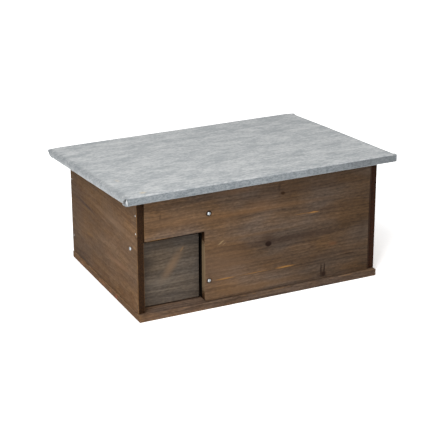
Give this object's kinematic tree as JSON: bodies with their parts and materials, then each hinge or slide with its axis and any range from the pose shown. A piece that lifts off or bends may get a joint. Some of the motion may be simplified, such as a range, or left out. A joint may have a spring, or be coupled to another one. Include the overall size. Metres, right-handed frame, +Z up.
{
  "type": "hedgehog house",
  "caption": "Wooden hedgehog house with a swinging entrance flap, a partition that makes a passage to the nest chamber and a hinged lean-to roof wrapped in zinc sheet",
  "frame": {"origin": "on the ground, under the middle of the roof's outline", "axes": "+Z up, -Y towards the front with the doorway, +X to the right as seen from the front"},
  "size_m": [0.46, 0.3398, 0.2089],
  "materials": {
    "stained_fir": "brown water stain, matt, planed",
    "weathered_fir": "grey-brown weathered stain, matt",
    "zinc_sheet": "galvanised sheet, dull grey, slightly streaked",
    "zinc_plate": "bright zinc-plated steel",
    "nail_steel": "plain steel nail"
  },
  "bodies": {
    "house": {"floor_board": "stained_fir", "left_side_wall": "stained_fir", "right_side_wall": "stained_fir", "back_wall": "stained_fir", "front_wall": "stained_fir", "partition_wall": "stained_fir", "partition_screw_upper": "zinc_plate", "partition_screw_lower": "zinc_plate", "left_hinge_wall_leaf": "zinc_plate", "left_hinge_pin": "zinc_plate", "left_hinge_wall_screw_1": "zinc_plate", "left_hinge_wall_screw_2": "zinc_plate", "right_hinge_wall_leaf": "zinc_plate", "right_hinge_pin": "zinc_plate", "right_hinge_wall_screw_1": "zinc_plate", "right_hinge_wall_screw_2": "zinc_plate", "nail_floor_1": "nail_steel", "nail_floor_2": "nail_steel", "nail_floor_3": "nail_steel", "nail_floor_4": "nail_steel", "nail_floor_5": "nail_steel", "nail_floor_6": "nail_steel", "nail_floor_7": "nail_steel", "nail_floor_8": "nail_steel", "nail_floor_9": "nail_steel", "nail_left_front_1": "nail_steel", "nail_left_front_2": "nail_steel", "nail_left_back_1": "nail_steel", "nail_left_back_2": "nail_steel", "nail_right_front_1": "nail_steel", "nail_right_front_2": "nail_steel", "nail_right_back_1": "nail_steel", "nail_right_back_2": "nail_steel", "nail_right_front_3": "nail_steel"},
    "flap": {"entrance_flap": "weathered_fir", "flap_pivot_screw_left": "zinc_plate", "flap_pivot_screw_right": "zinc_plate"},
    "roof": {"roof_board": "stained_fir", "roof_sheet": "zinc_sheet", "left_hinge_roof_leaf": "zinc_plate", "left_hinge_roof_screw_1": "zinc_plate", "left_hinge_roof_screw_2": "zinc_plate", "right_hinge_roof_leaf": "zinc_plate", "right_hinge_roof_screw_1": "zinc_plate", "right_hinge_roof_screw_2": "zinc_plate"}
  },
  "joints": [
    {"name": "flap_swing", "type": "hinge", "parent": "house", "child": "flap", "pos_m": [-0.1455, -0.1255, 0.11], "axis": [1, 0, 0], "range_deg": [-105, 130]},
    {"name": "roof_opening", "type": "hinge", "parent": "house", "child": "roof", "pos_m": [0, 0.1338, 0.16871], "axis": [-1, 0, 0], "range_deg": [0, 92]}
  ]
}
